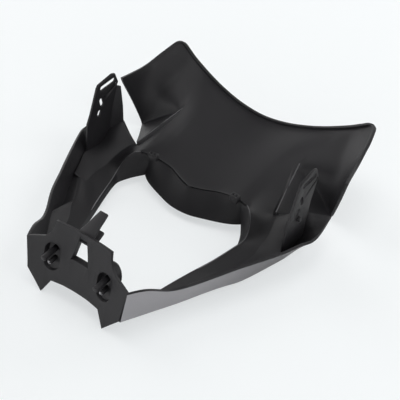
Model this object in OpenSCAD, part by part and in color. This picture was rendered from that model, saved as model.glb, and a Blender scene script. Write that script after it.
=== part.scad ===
// Headlight cowl of a trail motorbike: one thin moulded shell, lying front face down.
// X runs across the bike, Y from the chin to the crown, Z from the front face to the rider.

/* [Moulding] */
// Thickness of the moulded wall
wall = 2.6; // [2:0.1:3.2]
// Height of the lip turned up along the crown edge
crown_lip = 3; // [2:0.5:4]

/* [Number plate] */
// Half width at the two upper corners
crown_half_width = 117; // [112:1:121]
// Distance from the chin line to the two upper corners
crown_height = 307; // [302:1:316]
// Height of the upper corners above the front face
crown_depth = 62; // [56:1:68]
// Distance from the chin line to the lowest point of the crown edge
crown_dip_height = 291; // [288:0.5:297]
// Height of the crown edge above the front face, on the middle line
crown_dip_depth = 25; // [23:0.2:28]
// Half width at the outer corners of the ears
ear_half_width = 134; // [131:0.5:136]
// Height of the outer ear corners above the front face
ear_depth = 53; // [48:1:58]

/* [Lamp opening] */
// Distance from the chin line to the top of the opening
opening_top = 150; // [146:1:153]
// Half width of the opening at its widest
opening_half_width = 73.5; // [71:0.5:75]
// Half width of the opening above the chin
opening_chin_half_width = 48; // [45:0.5:50]
// Height of the brow wall above the opening
brow_depth = 21; // [18:0.5:24]

/* [Side walls] */
// Half width at the widest part of the side walls
side_half_width = 133.5; // [131:0.5:135]
// Height of the free edge of the side walls
side_depth = 30; // [28:0.5:33]
// Height of the front face at the lower corners of the ears, below the rim of the opening
ear_drop = 8; // [6:0.5:9]
// Height of the hump of the side wall behind the chin
hump_depth = 45.2; // [42:0.5:48]

/* [Strap tabs] */
// Half distance between the two strap tabs
tab_half_gap = 117.2; // [115:0.2:118.5]
// Thickness of a strap tab
tab_thickness = 2.2; // [2:0.1:3]
// Height of the tab tips above the front face
tab_depth = 83.5; // [80:0.5:87]
// Length of the strap slot
strap_slot_length = 22; // [18:0.5:24]
// Width of the strap slot
strap_slot_width = 5; // [4:0.25:6]
// Length of the two keyholes under the strap slot
keyhole_length = 9; // [7:0.5:9.5]
// Width of the two keyholes
keyhole_width = 4.4; // [3.4:0.1:4.8]
// Diameter of the small hole beside the strap slot
tab_hole_diameter = 3; // [2.4:0.1:3.4]
// Diameter of the stop peg on each tab
peg_diameter = 5; // [4:0.25:6]
// Length the stop peg stands out of the tab
peg_length = 3; // [2:0.25:4]
// Distance from the chin line to the middle of the strap slot
strap_slot_place = 187.5; // [187:0.25:189]
// Distance from the tip of the tab down to the strap slot
strap_slot_drop = 6.2; // [5.4:0.1:6.6]
// Distance from the chin line to the upper keyhole
upper_keyhole_place = 176.6; // [175.5:0.5:178.5]
// Height of the upper keyhole above the front face
upper_keyhole_height = 62; // [61.5:0.25:62.5]
// Distance from the chin line to the lower keyhole
lower_keyhole_place = 171.8; // [170.6:0.2:173]
// Height of the lower keyhole above the front face
lower_keyhole_height = 51.4; // [50:0.2:52]
// Distance from the chin line to the small hole
tab_hole_place = 200.2; // [199:0.2:200.6]
// Height of the small hole above the front face
tab_hole_height = 71.5; // [70:0.5:72]
// Distance from the chin line to the stop peg
peg_place = 172; // [170:0.5:174]
// Height of the stop peg above the front face
peg_height = 43.5; // [42:0.5:45]

/* [Brow clips] */
// Half distance between the two clips on the brow
clip_half_gap = 49; // [46:0.5:51]
// Distance from the chin line to the clips
clip_place = 173; // [172.5:0.25:174]
// Height of the middle of a clip above the front face
clip_height = 28.8; // [28:0.2:29.2]
// Width of a clip
clip_width = 9; // [8:0.5:10]
// Depth of a clip along the cowl
clip_length = 6; // [5:0.5:7]
// Height of a clip from its underside to its top
clip_rise = 6.5; // [6:0.5:7.5]

/* [Chin] */
// Height of the middle of the chin above the front face
chin_depth = 70; // [67:0.5:73]
// Half width of the raised middle of the chin
chin_raised_half_width = 31; // [29:0.5:33]
// Half width at the two feet
foot_half_width = 35.9; // [34.5:0.1:37]
// Distance between the two locating pins, centre to centre
pin_spacing = 59.2; // [56:0.2:62]
// Height of the locating pins above the front face
pin_depth = 43; // [42:0.25:43.5]
// Diameter of a locating pin
pin_diameter = 6.5; // [5.5:0.25:7]
// Distance from the chin line to the tip of a locating pin, against the way to the crown
pin_tip = 0.7; // [0:0.1:1]
// Height of the short studs under the pins above the front face
stud_depth = 33; // [32.5:0.25:34]
// Diameter of a stud
stud_diameter = 6; // [5:0.25:6.5]
// Distance from the chin line to the tip of a stud
stud_tip = 5.2; // [4:0.2:7]
// Height of the middle of a pin well above the front face
well_middle = 37; // [36.5:0.25:38]
// Diameter of the rounded ends of the pin wells
well_width = 16; // [14:0.5:18]
// Distance between the centres of the two rounded ends of a well
well_stretch = 9; // [7:0.5:10]
// Depth of the pin wells
well_depth = 9; // [7:0.5:10]
// Half width of the window at its lower edge
window_half_width = 7; // [6:0.25:8]
// Half width of the window at its upper edge
window_top_half_width = 3.5; // [3:0.25:4.5]
// Height of the window
window_height = 17; // [14:0.5:18]
// Depth of the rim that runs back from the window
window_rim = 5; // [4:0.5:6]
// Half width of the prong at its tip
prong_tip_half_width = 4; // [3:0.25:5]
// Half width of the prong at its root
prong_root_half_width = 9; // [7.5:0.25:10]
// Length of the prong
prong_length = 27; // [22:0.5:29]

/* [Hidden] */
$fn = 48;
smooth_steps = 2;
brow_z = brow_depth;
rim_z = wall / 2;
tab_outer_z = tab_depth;
chin_lean = 0.36;
chin_sweep = 0.0018;
chin_back = 0.3;
chin_tilt = atan(chin_lean);
mesh_lap = 0.8;
well_x = pin_spacing / 2;
well_reach = well_depth + 9;
rest_tilt = atan((ear_drop + wall / 2) / 236);
ground_lift = 0.107;
pin_reach = 4.08;
ground_middle = (crown_height - pin_reach) / 2;

// Half of the number plate: rows run from the brow to the crown, points from the middle outwards.
brow_row = [
  [0, 167, brow_z],
  [15, 170.5, brow_z],
  [29, 176, brow_z + 0.5],
  [44, 176, brow_z + 3.5],
  [62, 173, brow_z + 5.5],
  [83, 188, 13.2],
  [118, 238, 1 - ear_drop],
  [ear_half_width, 227.5, ear_depth - 1]
];
lower_row = [
  [0, 200, brow_z + 0.5],
  [16, 202, brow_z + 1],
  [32, 205, brow_z + 2.5],
  [47, 208, brow_z + 4.5],
  [61, 211, brow_z + 4.5],
  [76.5, 218, 21.5],
  [114, 248, 10],
  [ear_half_width - 3.2, 245.3, ear_depth - 1]
];
middle_row = [
  [0, 233, brow_z + 2],
  [18, 234, brow_z + 3],
  [34, 236, brow_z + 5.5],
  [48, 239, brow_z + 8],
  [60, 243, brow_z + 9],
  [70, 249, 29.7],
  [109, 262, 29],
  [ear_half_width - 6.4, 262.2, ear_depth - 0.3]
];
upper_row = [
  [0, 265, crown_dip_depth - 0.8],
  [19, 265.5, crown_dip_depth + 0.5],
  [36, 267, crown_dip_depth + 3.8],
  [52, 270, crown_dip_depth + 7.8],
  [64, 273, crown_dip_depth + 10.6],
  [77, 278, 38.5],
  [103.5, 284, 43.5],
  [ear_half_width - 9.4, 281.2, ear_depth + 4.1]
];
function crown_point(s) = [
  crown_half_width * s,
  crown_dip_height + (crown_height + 3 - crown_dip_height) * pow(s, 2.3) - 3 * pow(s, 12),
  crown_dip_depth + (crown_depth - crown_dip_depth) * pow(s, 1.7)
];
crown_row = [for (s = [0, 0.186, 0.339, 0.483, 0.593, 0.712, 0.856, 1]) crown_point(s)];

// Half of the wall round the lamp opening: its fold into the outer surfaces and its rim.
lip_z = rim_z + 4.5;
opening_fold = [
  [0, 167, brow_z],
  [15, 170.5, brow_z],
  [29, 176, brow_z + 0.5],
  [44, 176, brow_z + 3.5],
  [53, 175, brow_z + 5],
  [64, 172, brow_z + 5.5],
  [72, 165, brow_z + 2],
  [77.5, 153, 11],
  [opening_half_width + 1.5, 138, lip_z + 0.7],
  [opening_half_width - 4.5, 114, lip_z],
  [63.3, 95, lip_z],
  [57.6, 75, lip_z + 0.2],
  [opening_chin_half_width + 5, 57, lip_z + 0.2],
  [opening_chin_half_width + 1, 40, lip_z + 1.2],
  [opening_chin_half_width - 5, 26, lip_z + 2.2]
];
opening_rim = [
  [0, opening_top, rim_z],
  [12, opening_top + 1, rim_z],
  [24, opening_top + 4.5, rim_z],
  [46, opening_top + 13, rim_z],
  [59, 172, rim_z],
  [65, 163, rim_z],
  [69, 156, rim_z],
  [opening_half_width - 1, 147.5, rim_z],
  [opening_half_width - 0.3, 136, rim_z],
  [opening_half_width - 6, 114, rim_z],
  [62, 95, rim_z],
  [56.5, 75, rim_z],
  [opening_chin_half_width + 4, 57, rim_z],
  [opening_chin_half_width, 40, rim_z + 1],
  [opening_chin_half_width - 6, 26, rim_z + 2.2]
];

// Right side wall: rows run from the opening to the free edge, points from the slit to the chin.
side_inner = concat([for (i = [5 : 14]) opening_fold[i]], [[36, 9, 10]]);
side_bend = [
  [83, 188, 13.2],
  [85, 171, 13],
  [90, 157, 8.5],
  [92, 141, 7],
  [84, 116, 7.3],
  [73, 95, 8.3],
  [65, 74, 8.5],
  [59, 56, 8.5],
  [53, 38, 9],
  [47, 23, 9.5],
  [40.5, 6.5, 11]
];
side_fold = [
  [98, 195.5, 18],
  [101, 176, 11],
  [105, 159, 9],
  [112, 142, 10.5],
  [98, 117.5, 12],
  [83, 94.5, 12.5],
  [74, 72, 11.5],
  [66, 54, 11],
  [59, 37, 11],
  [52.5, 21, 11.5],
  [46, 4, 13]
];
side_crease = [
  [112.5, 203, 23],
  [116.5, 181, 10],
  [119, 160, 9],
  [115, 144, 9],
  [104.5, 112, 9.5],
  [96, 96, 9.5],
  [85, 75, 10],
  [75.5, 55, 10.5],
  [66.5, 37, 11.5],
  [60, 21, 14],
  [52.8, 2, 17.8]
];
side_edge = [
  [side_half_width - 5, 214, 15],
  [side_half_width, 178, side_depth - 5],
  [side_half_width - 3, 160, side_depth - 1],
  [side_half_width - 8.5, 143, side_depth - 1.5],
  [side_half_width - 22, 115, side_depth],
  [side_half_width - 31, 97, side_depth + 1],
  [side_half_width - 40.5, 74.5, side_depth + 2.5],
  [side_half_width - 51.7, 57.5, side_depth],
  [side_half_width - 61.2, 41.3, side_depth + 2],
  [side_half_width - 68, 26.6, hump_depth - 0.5],
  [side_half_width - 77.2, 9.5, hump_depth + 1.8]
];

// Ledge between the chin and the opening, right half, from the chin to the rim.
ledge_front = [[0, 6, 16.5], [14, 5.5, 16.2], [28, 5, 15.5], [36, 9, 10]];
ledge_rim = [
  [0, 24, lip_z],
  [14, 24, lip_z],
  [28, 24.5, lip_z + 0.7],
  [opening_chin_half_width - 5, 26, lip_z + 2.2]
];

function flipped(row) = [for (i = [len(row) - 1 : -1 : 1]) [-row[i][0], row[i][1], row[i][2]]];
function across(row) = concat(flipped(row), row);
function mirror_row(row) = [for (p = row) [-p[0], p[1], p[2]]];

// Smooth curve through the points of a row, with extra points between them.
function curve_at(p, i, t) =
  let (
    n = len(p) - 1,
    a = i > 0 ? p[i - 1] : 2 * p[0] - p[1],
    b = p[i],
    c = p[min(i + 1, n)],
    d = i + 2 <= n ? p[i + 2] : 2 * p[n] - p[n - 1]
  )
  0.5 * (2 * b + (c - a) * t + (2 * a - 5 * b + 4 * c - d) * t * t + (3 * b - a - 3 * c + d) * t * t * t);
function smooth_row(p) = concat(
  [for (i = [0 : len(p) - 2]) for (k = [0 : smooth_steps - 1]) curve_at(p, i, k / smooth_steps)],
  [p[len(p) - 1]]
);
function column(grid, j) = [for (row = grid) row[j]];
function turned(grid) = [for (j = [0 : len(grid[0]) - 1]) column(grid, j)];
function smooth_grid(grid) =
  let (rows = [for (row = grid) smooth_row(row)])
  turned([for (col = turned(rows)) smooth_row(col)]);

function unit(v) = v / norm(v);
function facing(g, i, j) =
  let (
    n = len(g) - 1,
    m = len(g[0]) - 1,
    along = g[min(i + 1, n)][j] - g[max(i - 1, 0)][j],
    over = g[i][min(j + 1, m)] - g[i][max(j - 1, 0)]
  )
  unit(cross(over, along));

// Wall of even thickness that follows a grid of points on its middle surface.
module skin(grid, thickness) {
  n = len(grid);
  m = len(grid[0]);
  upper = [for (i = [0 : n - 1]) for (j = [0 : m - 1]) grid[i][j] + facing(grid, i, j) * thickness / 2];
  under = [for (i = [0 : n - 1]) for (j = [0 : m - 1]) grid[i][j] - facing(grid, i, j) * thickness / 2];
  s = n * m;
  top_faces = [
    for (i = [0 : n - 2]) for (j = [0 : m - 2]) for (half = [0, 1])
      half == 0
        ? [i * m + j, (i + 1) * m + j, (i + 1) * m + j + 1]
        : [i * m + j, (i + 1) * m + j + 1, i * m + j + 1]
  ];
  bottom_faces = [for (f = top_faces) [f[0] + s, f[2] + s, f[1] + s]];
  edge_a = [for (j = [0 : m - 2]) [j, j + 1, j + 1 + s, j + s]];
  edge_b = [for (j = [0 : m - 2]) let (k = (n - 1) * m + j) [k + 1, k, k + s, k + 1 + s]];
  edge_c = [for (i = [0 : n - 2]) let (k = i * m) [k + m, k, k + s, k + m + s]];
  edge_d = [for (i = [0 : n - 2]) let (k = i * m + m - 1) [k, k + m, k + m + s, k + s]];
  quads = concat(edge_a, edge_b, edge_c, edge_d);
  edge_faces = [
    for (q = quads) for (half = [0, 1])
      half == 0 ? [q[0], q[1], q[2]] : [q[0], q[2], q[3]]
  ];
  polyhedron(points = concat(upper, under), faces = concat(top_faces, bottom_faces, edge_faces), convexity = 8);
}

module number_plate() {
  rows = [for (row = [brow_row, lower_row, middle_row, upper_row, crown_row]) across(row)];
  skin(smooth_grid(rows), wall);
}

module crown_edge() {
  edge = smooth_row(across(crown_row));
  lifted = [for (p = edge) p + [0, 0.4, crown_lip]];
  skin([[for (p = edge) p + [0, 0, -mesh_lap]], lifted], wall * 0.8);
}

module opening_wall() {
  grown = [for (i = [0 : len(opening_fold) - 1]) opening_fold[i] + unit(opening_fold[i] - opening_rim[i]) * mesh_lap];
  skin([smooth_row(across(opening_rim)), smooth_row(across(grown))], wall);
}

module side_wall(right) {
  rows = [side_inner, side_bend, side_fold, side_crease, side_edge];
  grid = smooth_grid(right ? rows : [for (row = rows) mirror_row(row)]);
  skin(grid, wall);
}

module chin_ledge() {
  skin([smooth_row(across(ledge_front)), smooth_row(across(ledge_rim))], wall);
}

function chin_y(x, z) = chin_lean * z - chin_sweep * x * x - chin_back;
chin_outline = [
  [-57, 46.8], [-52.8, 17.8], [-foot_half_width, 0], [-27.4, 14], [-14, 15.2], [0, 15.4],
  [14, 15.2], [27.4, 14], [foot_half_width, 0], [52.8, 17.8], [57, 46.8],
  [46, 50.5], [40, 52.5], [chin_raised_half_width + 4.4, 56.7], [chin_raised_half_width + 1, 63],
  [chin_raised_half_width, chin_depth],
  [-chin_raised_half_width, chin_depth], [-chin_raised_half_width - 1, 63],
  [-chin_raised_half_width - 4.4, 56.7], [-40, 52.5], [-46, 50.5]
];

module chin_panel() {
  rows = [for (z = [-4, 80]) [for (x = [-66 : 6 : 66]) [x, chin_y(x, z) + wall / 2, z]]];
  intersection() {
    skin(rows, wall);
    translate([0, 60, 0]) rotate([90, 0, 0]) linear_extrude(height = 90) polygon(chin_outline);
  }
}

module well_shape(grow) {
  for (side = [-1, 1]) translate([0, side * well_stretch / 2]) circle(d = well_width + 2 * grow);
  square([well_width + 2 * grow, well_stretch], center = true);
}

module at_wells() {
  for (side = [-1, 1]) translate([side * well_x, chin_y(well_x, well_middle), well_middle]) rotate([90, 0, 0]) children();
}

// Space behind the face of the chin, to a given depth.
module behind_chin(depth) {
  back = depth / 2 / cos(chin_tilt);
  skin([for (z = [18, 74]) [for (x = [-48 : 8 : 48]) [x, chin_y(x, z) + back, z]]], depth);
}

module chin_wells() {
  intersection() {
    at_wells() translate([0, 0, -well_depth - wall]) linear_extrude(height = well_depth + wall + 12) well_shape(wall);
    behind_chin(well_reach);
  }
}

module chin_well_cuts() {
  at_wells() translate([0, 0, -well_depth]) linear_extrude(height = well_depth + 12) well_shape(0);
}

// Round peg that runs from a point in front of the chin back into the floor of its well.
module well_peg(height, diameter, tip) {
  floor_y = chin_y(well_x, well_middle) + well_depth;
  for (side = [-1, 1])
    translate([side * well_x, tip, height]) rotate([-90, 0, 0]) cylinder(d = diameter, h = floor_y + wall / 2 - tip);
}

module locating_pins() {
  well_peg(pin_depth, pin_diameter, -pin_tip);
  well_peg(stud_depth, stud_diameter, stud_tip);
}

module window_shape(grow) {
  low = 63.5 - window_height;
  offset(delta = grow) polygon([
    [-window_half_width, low], [window_half_width, low],
    [window_top_half_width, 63.5], [-window_top_half_width, 63.5]
  ]);
}

// Short tube behind the chin round its window.
module window_collar() {
  intersection() {
    translate([0, 60, 0]) rotate([90, 0, 0]) linear_extrude(height = 80) window_shape(wall * 0.7);
    behind_chin(window_rim);
  }
}

module window_cut() {
  translate([0, 60, 0]) rotate([90, 0, 0]) linear_extrude(height = 80) window_shape(0);
}

module prong() {
  root_y = chin_y(0, chin_depth) - 1;
  translate([0, root_y, chin_depth - wall - 0.4]) rotate([18, 0, 0]) linear_extrude(height = wall)
    polygon([[-prong_root_half_width, 0], [prong_root_half_width, 0],
      [prong_root_half_width, prong_length * 0.35], [prong_tip_half_width, prong_length],
      [-prong_tip_half_width, prong_length], [-prong_root_half_width, prong_length * 0.35]]);
}

tab_outline = [
  [199.1, tab_outer_z], [195, tab_outer_z + 1.8], [174.5, tab_outer_z], [171.8, tab_outer_z - 2.5],
  [159.8, 55.9], [154.3, 46.8], [149.5, 20], [150, 8], [166, 7], [182, 8], [184, 10],
  [186.5, 28], [192.5, 49], [199.8, 67], [204.3, 67.5], [202.7, tab_outer_z - 11.5]
];

// Flange bent inwards from the tab: fold and free edge, from the tip down.
tab_flange = [
  [[tab_half_gap, 199.3, 67.5], [tab_half_gap, 192, 49], [tab_half_gap, 186, 28], [tab_half_gap, 183.6, 10.5]],
  [[tab_half_gap - 3, 204.2, 66.5], [tab_half_gap - 8.2, 199.4, 47.5], [tab_half_gap - 9.2, 197.5, 28.5],
    [tab_half_gap - 9.4, 197.2, 19.5]]
];

module across_x(x, length) {
  translate([x - length / 2, 0, 0]) rotate([90, 0, 90]) linear_extrude(height = length) children();
}

module slot_shape(length, width) {
  for (side = [-1, 1]) translate([side * (length - width) / 2, 0]) circle(d = width);
  square([length - width, width], center = true);
}

module strap_tab(side) {
  difference() {
    union() {
      across_x(side * tab_half_gap, tab_thickness) polygon(tab_outline);
      skin([for (row = tab_flange) [for (p = row) [side * p[0], p[1], p[2]]]], tab_thickness);
    }
    across_x(side * tab_half_gap, tab_thickness * 3) {
      translate([strap_slot_place, tab_outer_z - strap_slot_drop]) slot_shape(strap_slot_length, strap_slot_width);
      translate([upper_keyhole_place, upper_keyhole_height]) rotate(84) slot_shape(keyhole_length, keyhole_width);
      translate([lower_keyhole_place, lower_keyhole_height]) rotate(60) slot_shape(keyhole_length, keyhole_width);
      translate([tab_hole_place, tab_hole_height]) circle(d = tab_hole_diameter);
    }
  }
  peg_start = tab_half_gap + tab_thickness / 2 - mesh_lap;
  translate([side * peg_start, peg_place, peg_height]) rotate([0, side * 90, 0])
    cylinder(d = peg_diameter, h = peg_length + mesh_lap);
}

module brow_clip(side) {
  translate([side * clip_half_gap, clip_place, clip_height]) rotate([0, 0, side * -6])
    cube([clip_width, clip_length, clip_rise], center = true);
}

module shell() {
  difference() {
    union() {
      number_plate();
      crown_edge();
      opening_wall();
      side_wall(true);
      side_wall(false);
      chin_ledge();
      chin_panel();
      chin_wells();
      window_collar();
      strap_tab(1);
      strap_tab(-1);
      brow_clip(1);
      brow_clip(-1);
      prong();
    }
    chin_well_cuts();
    window_cut();
  }
  locating_pins();
}

// Set down on the feet and the ear corners, centred over the ground.
module headlight_cowl() {
  color("#242527") translate([0, -ground_middle, ground_lift]) rotate([rest_tilt, 0, 0]) shell();
}

headlight_cowl();
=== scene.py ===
"""Headlight cowl of a trail motorbike: moulded shell, chin, strap tabs, pins and clips, on a pale floor."""

import math

import bmesh
import bpy
from bpy.props import FloatProperty, FloatVectorProperty, IntProperty, PointerProperty
from mathutils import Matrix, Vector


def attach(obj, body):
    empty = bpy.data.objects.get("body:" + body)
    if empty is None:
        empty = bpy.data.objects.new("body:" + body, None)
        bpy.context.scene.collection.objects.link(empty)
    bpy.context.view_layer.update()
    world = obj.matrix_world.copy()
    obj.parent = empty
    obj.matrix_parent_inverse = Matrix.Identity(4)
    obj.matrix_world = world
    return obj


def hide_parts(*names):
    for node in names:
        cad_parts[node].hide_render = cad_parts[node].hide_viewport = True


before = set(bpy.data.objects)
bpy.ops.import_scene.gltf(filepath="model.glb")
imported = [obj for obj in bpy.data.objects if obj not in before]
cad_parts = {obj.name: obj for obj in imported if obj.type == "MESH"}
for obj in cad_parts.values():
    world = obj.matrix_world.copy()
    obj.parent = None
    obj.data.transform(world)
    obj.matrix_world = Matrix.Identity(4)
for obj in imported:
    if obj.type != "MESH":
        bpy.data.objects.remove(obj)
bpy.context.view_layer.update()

bl_info = {
    "name": "Headlight cowl",
    "version": (1, 0, 0),
    "blender": (4, 5, 0),
    "location": "3D View > Sidebar > Cowl",
    "description": "Moulded headlight cowl of a trail motorbike, with a plain stage",
    "category": "Add Mesh",
}

NODE = "headlight_cowl"
MM = 0.001

# The shell's side walls have a slot of their own, of plastic, and their outside takes the next one, the pale
# skin that is painted light.
SIDE_SLOT = 1
OUTSIDE_STEP = 1
# Slot of the pale skin on the studs' ends, a painted highlight.
STUD_HIGHLIGHT_SLOT = 1
# The plastic and the pale skin of painted light: refraction, share of mirrored light, and where the two tones
# stand in the noise.
PLASTIC_IOR = 1.49
PLASTIC_SHEEN = 0.32
TONE_PLACES = (0.3, 0.7)
FINE_NOISE = {"Detail": 3, "Roughness": 0.6}
BROAD_NOISE = {"Detail": 4}
# How far the roughness sways to either side of its middle.
PLASTIC_SWAY = 0.05
SKIN_SWAY = 0.04
# The pale skin, painted light: its darker tone and its grain, as shares of the paler tone and of the
# plastic's grain.
SKIN_TONE = 0.94
SKIN_GRAIN = 0.3
# Painted shade on the skin: it is palest up to the first place along the cowl and darkens to a share of that
# at the second.
PAINTED_SHADE_START = -0.1
PAINTED_SHADE_END = 0.005
PAINTED_SHADE_SHARE = 0.38

# Edges that turn by more than this are rounded.
EDGE_ANGLE = math.radians(35)
EDGE_SEGMENTS = 2
# Points this close are one, in a sheet and where its two halves meet.
WELD = 0.02
HALF_WELD = 0.05
# A point this close to a plane lies in it.
MIDDLE = 0.01
# Rounds in which the control points of a curve settle.
CURVE_ROUNDS = 20

# The shell is drawn with its rim on the floor, then tipped onto its feet and ear corners.
REST_TILT = math.atan(9.3 / 236)
GROUND_MIDDLE = 151.46
GROUND_LIFT = 0.107
TO_ROW = (
    Matrix.Translation((0, -GROUND_MIDDLE * MM, GROUND_LIFT * MM))
    @ Matrix.Rotation(REST_TILT, 4, "X")
    @ Matrix.Scale(MM, 4)
)

# Number plate, right half: rows from the brow to the crown, points from the middle outwards.
PLATE_ROWS = (
    (
        (0, 167, 21), (15, 170.5, 21), (29, 176, 21.5), (44, 176, 24.5), (53, 175, 26),
        (64, 172, 26.5), (83, 188, 13.2), (84.6, 189.8, 15.6), (100, 212.5, 3.8), (118, 238, -7),
        (126, 234, 21), (132.4, 229, 43.5), (134.5, 227.5, 52),
    ),
    (
        (0, 200, 21.5), (16, 202, 22), (32, 205, 23.5), (47, 208, 25.5), (54, 209.5, 25.6), (61, 211, 25.5),
        (75.7, 217.4, 20.6), (78, 219.2, 22.9), (94, 243.5, 11.8), (114, 248, 10), (124, 246, 32),
        (128.9, 245.6, 46.8), (130.8, 245.3, 51.8),
    ),
    (
        (0, 233, 23), (18, 234, 24), (34, 236, 26.5), (48, 239, 29), (54, 241, 29.7), (60, 243, 30),
        (69.2, 248.6, 29.5), (71.5, 249.6, 30.1), (90, 256, 28.5), (109, 262, 29), (121, 261.5, 43),
        (125.6, 262.5, 50.2), (127.6, 262.2, 52.9),
    ),
    (
        (0, 265, 24.2), (19, 265.5, 25.5), (36, 267, 28.8), (52, 270, 32.8), (58, 271.5, 34.3),
        (64, 273, 35.6), (73, 276.2, 37.5), (82, 279.2, 39.2), (91.5, 281.7, 41), (103.5, 284, 43.5),
        (115.5, 283, 51.5), (122.4, 281.6, 55.7), (124.6, 281.2, 57.1),
    ),
)
# Places in a row: the brow's end, foot and top of the step beside the ear, the facet's top, the ear's corner.
BROW_END = 5
STEP_PLACES = (6, 7)
FACET_TOP = 8
EAR_CORNER = 9
# The step and the corners run through this many rows from the brow.
STEP_ROWS = 3

# Crown edge: the points' shares of its half width, and where its middle lies along the cowl and up.
CROWN_PLACES = (0, 0.186, 0.339, 0.483, 0.54, 0.593, 0.66, 0.727, 0.79, 0.85, 0.89, 0.92, 1)
CROWN_HALF_WIDTH = 117
CROWN_DIP = (291, 24.3)
# Terms by which the edge runs out along the cowl, and the one by which it rises: factor and power.
CROWN_RUN = ((19, 2.3), (-3, 12))
CROWN_RISE = (37, 1.7)
# Upper corner of the plate, and how round it is cut.
CROWN_TIP = (118.6, 308.3, 63.2)
TIP_ROUND = 8
TIP_SEGMENTS = 4
# Place of the row that holds the sheet up under the crown, between the last row and the edge.
CROWN_SUPPORT = 0.62
# The lip on the plate's side edges, as a share of the one on the crown.
SIDE_LIP = 0.5

# Wall round the lamp opening, right half, from the middle of the brow to the middle of the chin. Along the
# brow its fold is the plate's first row.
OPENING_FOLD = PLATE_ROWS[0][:BROW_END + 1] + (
    (72, 165, 23), (77.5, 153, 11), (75, 138, 6.5), (69, 114, 5.8), (63.3, 95, 5.8), (57.6, 75, 6),
    (53, 57, 6), (49, 40, 7), (43, 26, 8), (28, 24.5, 6.5), (14, 24, 6), (0, 24, 6),
)
OPENING_RIM = (
    (0, 150, 1.3), (12, 151, 1.3), (24, 154.5, 1.3), (46, 163, 1.3), (59, 172, 1.3), (65, 163, 1.3),
    (69, 156, 1.3), (72.5, 147.5, 1.3), (73.2, 136, 1.3), (67.5, 114, 1.3), (62, 95, 1.3), (56.5, 75, 1.3),
    (52, 57, 1.3), (48, 40, 2.2), (42, 26, 3.5), (28, 24.3, 2), (14, 23.8, 1.5), (0, 23.8, 1.5),
)
FOLD_CORNERS = (4, 5, 14)
RIM_CORNERS = (4, 14)
# The side wall shares the fold's points from the brow's end to the chin's corner, and the ledge the others.
CHIN_CORNER = 14
SHARED_FOLD = slice(BROW_END, CHIN_CORNER + 1)

# Right side wall from the slit to the chin: edge of the opening, soft bend, fold, lowest line and free edge.
SIDE_ROWS = (
    OPENING_FOLD[SHARED_FOLD] + ((36, 9, 10),),
    (
        (83, 188, 13.2), (85, 171, 13), (90, 157, 8.5), (92, 141, 7), (84, 116, 7.3), (73, 95, 8.3),
        (65, 74, 8.5), (59, 56, 8.5), (53, 38, 9), (47, 23, 9.5), (40.5, 6.5, 11),
    ),
    (
        (98, 195.5, 18), (101, 176, 11), (105, 159, 9), (112, 142, 10.5), (98, 117.5, 12), (83, 94.5, 12.5),
        (74, 72, 11.5), (66, 54, 11), (59, 37, 11), (52.5, 21, 11.5), (46, 4, 13),
    ),
    (
        (112.5, 203, 23), (116.5, 181, 10), (119, 160, 9), (115, 144, 9), (104.5, 112, 9.5), (96, 96, 9.5),
        (85, 75, 10), (75.5, 55, 10.5), (66.5, 37, 11.5), (60, 21, 14), (52.8, 2, 17.8),
    ),
    (
        (129, 216, 16), (135.5, 177, 24), (132, 160, 28.5), (125, 143, 28.5), (111.5, 115, 30),
        (102.5, 97, 31), (92.5, 74.5, 32.5), (81, 57.5, 30), (71.8, 41.3, 32), (65, 26.6, 44.7),
        (56, 9.5, 47),
    ),
)
# Rows of the side wall that turn sharply, the corners of its free edge, and the creases along two rows.
SIDE_BREAKS = (1, 2)
EDGE_CORNERS = (6, 8, 9)
SIDE_CREASES = ((2, 0.7), (3, 1))
# Sharpness of the crease along the top of the ear's facet.
FACET_CREASE = 0.6

# Sloping shelf between the side wall and the chin, right half.
SHELF_ROWS = (
    ((82, 96, 10.8), (82.5, 79, 16), (81, 62, 22)),
    ((72.5, 78, 10), (75.5, 65, 15.5), (76.2, 52, 20.5)),
    ((62.5, 54, 9.5), (66, 46, 14.8), (68.6, 40.4, 17.8)),
    ((54, 29, 9.5), (59.5, 30, 14.6), (63, 31, 17)),
)
# Subdivision levels of the shelves and of the wings' floors.
FLAT_LEVELS = 2
# Raised floor of each wing between the lamp opening and the strap tab, right half, from the slit down.
WING_ROWS = (
    ((82, 188, 12.2), (97.5, 192.4, 20.5), (108, 196.6, 27.6), (113.5, 199.5, 28)),
    ((84, 178, 11.5), (97, 180.5, 17), (108, 183, 21), (116.5, 185, 21)),
    ((87, 165, 8.5), (98, 167, 12.5), (108, 169, 14), (117.5, 171, 12.5)),
    ((90, 150, 6.5), (101, 151, 10.5), (110, 151, 13.5), (118, 151, 16)),
    ((89, 135, 5.5), (97, 135, 9), (105, 135, 12.5), (112.5, 135, 15)),
    ((84, 118, 5.5), (91, 118, 9), (98, 118, 12), (105.5, 118, 14.5)),
)
# Ledge between the opening and the chin, right half: its front row, and the fold of the opening.
LEDGE_ROWS = (
    ((0, 6, 16.5), (14, 5.5, 16.2), (28, 5, 15.5), (36, 9, 10)),
    ((0, 24, 6), (14, 24, 6), (28, 24.5, 6.5), (43, 26, 8)),
)

# Chin panel, right half, across and up.
CHIN_OUTLINE = (
    (0, 15.4), (14, 15.2), (27.4, 14), (35.9, 0), (52.8, 17.8), (57, 46.8),
    (46, 50.5), (40, 52.5), (35.4, 56.7), (32, 63), (31, 70), (0, 70),
)
WINDOW_OUTLINE = ((-10.6, 42.2), (10.6, 42.2), (5.2, 66.4), (-5.2, 66.4))
# The chin's face: how it leans back, how it sweeps back to the sides, and how far forward its foot is.
CHIN_LEAN = 0.36
CHIN_SWEEP = 0.0018
CHIN_BACK = 0.3
# Edges across the panel, up to this far from the middle, one every so many millimetres.
CHIN_REACH = 56
CHIN_STEP = 4

# Rims on the opening's fold and ribs on the ears' steps: root, height, wall, and share of the edge rounding.
RIM_PLACES = slice(5, 12)
RIB_ROOT = 1.5
RIB_RISE = {"side_rims": 1.9, "ear_ribs": 2.1}
RIB_WALL = 0.9
RIB_LEVELS = 3
RIB_EDGE = 1 / 3
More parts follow.
